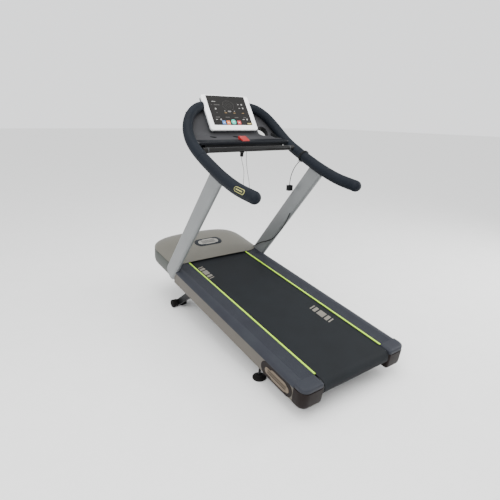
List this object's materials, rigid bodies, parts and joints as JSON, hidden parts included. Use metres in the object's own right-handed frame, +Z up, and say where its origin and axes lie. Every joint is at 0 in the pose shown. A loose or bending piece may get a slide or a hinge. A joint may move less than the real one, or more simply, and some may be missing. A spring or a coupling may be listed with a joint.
{
  "type": "treadmill",
  "caption": "Gym treadmill with ribbed side rails, lime stripes, a domed motor hood, leaning uprights, looped handles, console display and powered incline.",
  "frame": {"origin": "on the floor under the middle of the machine's length and width", "axes": "+X is the runner's right, +Y forward towards the motor hood, +Z up"},
  "size_m": [0.812, 1.897, 1.5311],
  "materials": {
    "belt_rubber": "matt woven texture",
    "galvanised_steel": "satin",
    "black_steel": "satin powder coat",
    "deck_laminate": "phenolic faced",
    "slate_plastic": "fine texture",
    "lime_plastic": "satin",
    "warm_grey_plastic": "fine texture",
    "dark_brown_plastic": "textured",
    "hood_plastic": "fine texture",
    "grey_paint": "satin",
    "grip_foam": "matt",
    "console_plastic": "fine texture",
    "black_plastic": "textured",
    "silver_plastic": "satin",
    "display_glass": "satin",
    "key_plastic_blue": "satin",
    "key_plastic_orange": "satin",
    "key_plastic_teal": "satin",
    "key_plastic_red": "satin",
    "cord_nylon": "braided",
    "motor_metal": "cast"
  },
  "bodies": {
    "rear_feet": {"rear_foot_pad_left": "black_plastic", "rear_foot_pad_right": "black_plastic"},
    "frame": {"running_belt": "belt_rubber", "rear_roller_axle": "galvanised_steel", "front_roller_axle": "galvanised_steel", "deck_board": "deck_laminate", "motor_body": "motor_metal", "drive_belt": "belt_rubber", "motor_pan": "black_steel", "inverter_box": "motor_metal", "frame_rail_left": "black_steel", "frame_rail_right": "black_steel", "rear_crossmember": "black_steel", "front_crossmember": "black_steel", "footrail_right": "slate_plastic", "footrail_left": "slate_plastic", "stripe_right": "lime_plastic", "stripe_left": "lime_plastic", "side_skirt_right": "warm_grey_plastic", "side_skirt_left": "warm_grey_plastic", "end_cap_right": "dark_brown_plastic", "end_cap_left": "dark_brown_plastic", "end_cap_pad_right": "slate_plastic", "end_cap_pad_left": "slate_plastic", "hood_upper": "hood_plastic", "hood_lower": "hood_plastic", "power_inlet": "black_plastic", "upright_right": "grey_paint", "upright_left": "grey_paint", "grip_right": "grip_foam", "grip_left": "grip_foam", "handle_core_right": "galvanised_steel", "handle_core_left": "galvanised_steel", "grip_cap_right": "grip_foam", "grip_cap_left": "grip_foam", "console_panel": "console_plastic", "console_back": "black_plastic", "crossbar": "black_steel", "display_frame": "silver_plastic", "display_screen": "display_glass", "display_housing": "black_plastic", "rear_foot_stud_left": "galvanised_steel", "rear_foot_stud_right": "galvanised_steel", "safety_string": "cord_nylon", "handle_string": "cord_nylon", "upright_cable": "black_plastic", "string_clip": "black_plastic"},
    "lift_arm": {"lift_arm": "black_steel"},
    "wheel_left": {"wheel_left": "grip_foam"},
    "wheel_right": {"wheel_right": "grip_foam"},
    "lift_motor": {"lift_motor": "motor_metal"},
    "lift_tube": {"lift_tube": "galvanised_steel"},
    "front_roller": {"front_roller": "galvanised_steel"},
    "rear_roller": {"rear_roller": "galvanised_steel"},
    "motor_rotor": {"motor_rotor": "galvanised_steel"},
    "stop_button": {"stop_button": "key_plastic_red"},
    "key_blue": {"key_blue": "key_plastic_blue"},
    "key_orange": {"key_orange": "key_plastic_orange"},
    "key_teal": {"key_teal": "key_plastic_teal"},
    "key_red": {"key_red": "key_plastic_red"}
  },
  "joints": [
    {"name": "incline", "type": "hinge", "parent": "rear_feet", "child": "frame", "pos_m": [0, -0.52699, 0.026], "axis": [1, 0, 0], "range_deg": [-7.4, 1.1]},
    {"name": "lift_arm_swing", "type": "hinge", "parent": "frame", "child": "lift_arm", "pos_m": [0, 0.30627, 0.20985], "axis": [1, 0, 0], "range_deg": [-4.96, 29.91]},
    {"name": "wheel_left_spin", "type": "hinge", "parent": "lift_arm", "child": "wheel_left", "pos_m": [-0.3, 0.56296, 0.029], "axis": [1, 0, 0], "continuous": true},
    {"name": "wheel_right_spin", "type": "hinge", "parent": "lift_arm", "child": "wheel_right", "pos_m": [0.3, 0.56296, 0.029], "axis": [1, 0, 0], "continuous": true},
    {"name": "lift_motor_tilt", "type": "hinge", "parent": "frame", "child": "lift_motor", "pos_m": [0, 0.68439, 0.32652], "axis": [1, 0, 0], "range_deg": [-8.74, 1.81]},
    {"name": "lift_screw_travel", "type": "slide", "parent": "lift_motor", "child": "lift_tube", "axis": [0, -0.7402, -0.6724], "range_m": [-0.0782, 0.0133]},
    {"name": "front_roller_spin", "type": "hinge", "parent": "frame", "child": "front_roller", "pos_m": [0, 0.54427, 0.33394], "axis": [1, 0, 0], "continuous": true},
    {"name": "rear_roller_spin", "type": "hinge", "parent": "frame", "child": "rear_roller", "pos_m": [0, -0.9006, 0.14628], "axis": [1, 0, 0], "continuous": true},
    {"name": "motor_spin", "type": "hinge", "parent": "frame", "child": "motor_rotor", "pos_m": [-0.1, 0.68547, 0.41137], "axis": [1, 0, 0], "continuous": true},
    {"name": "stop_press", "type": "slide", "parent": "frame", "child": "stop_button", "axis": [0, 0.1288, -0.9917], "range_m": [0, 0.004], "stiffness_N_per_m": 600},
    {"name": "key_blue_press", "type": "slide", "parent": "frame", "child": "key_blue", "axis": [0, 0.8377, -0.5461], "range_m": [0, 0.0007], "stiffness_N_per_m": 500},
    {"name": "key_orange_press", "type": "slide", "parent": "frame", "child": "key_orange", "axis": [0, 0.8377, -0.5461], "range_m": [0, 0.0007], "stiffness_N_per_m": 500},
    {"name": "key_teal_press", "type": "slide", "parent": "frame", "child": "key_teal", "axis": [0, 0.8377, -0.5461], "range_m": [0, 0.0007], "stiffness_N_per_m": 500},
    {"name": "key_red_press", "type": "slide", "parent": "frame", "child": "key_red", "axis": [0, 0.8377, -0.5461], "range_m": [0, 0.0007], "stiffness_N_per_m": 500}
  ],
  "couplings": [
    {"joint": "lift_arm_swing", "follows": "incline", "ratio": -3.961},
    {"joint": "lift_motor_tilt", "follows": "incline", "ratio": 1.1},
    {"joint": "lift_screw_travel", "follows": "incline", "m_per_rad": 0.59},
    {"joint": "rear_roller_spin", "follows": "front_roller_spin", "ratio": 1},
    {"joint": "motor_spin", "follows": "front_roller_spin", "ratio": 2.2632}
  ]
}
